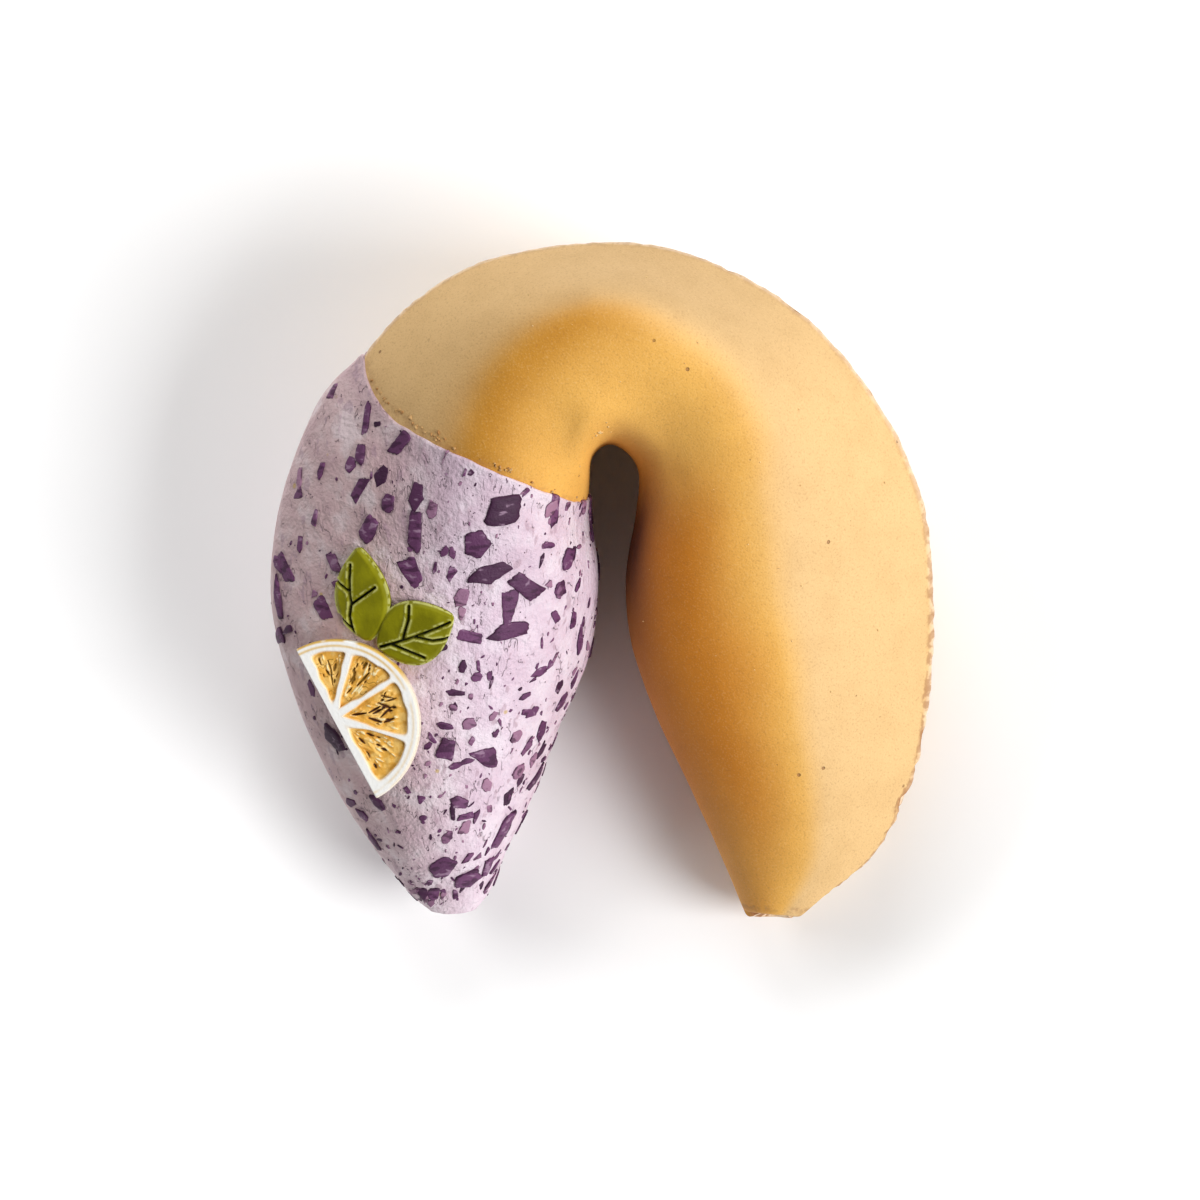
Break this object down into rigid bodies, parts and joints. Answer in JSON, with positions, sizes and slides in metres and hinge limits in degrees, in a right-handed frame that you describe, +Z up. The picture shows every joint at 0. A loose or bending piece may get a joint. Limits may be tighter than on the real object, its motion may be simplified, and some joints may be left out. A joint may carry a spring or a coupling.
{
  "type": "fortune cookie",
  "caption": "Folded fortune cookie with one horn dipped in lavender icing, dressed with half a lemon slice and small leaves.",
  "frame": {"origin": "on the table below the middle of the whole cookie's plan outline", "axes": "+Z up from the table, +Y from the two tips towards the folded middle, +X towards the bare horn"},
  "size_m": [0.0524, 0.0528, 0.0297],
  "materials": {
    "wafer": "dry baked crust, matte, pale rim and browned ridge",
    "icing": "matte lavender icing with embedded plum flakes",
    "lemon": "dried lemon, satin, white membranes and amber pulp",
    "leaf": "olive-green leaf, satin, carved veins"
  },
  "bodies": {
    "root": {"cookie_wafer": "wafer", "icing_dip": "icing", "lemon_slice": "lemon", "leaf_upright": "leaf", "leaf_side": "leaf"}
  },
  "joints": []
}
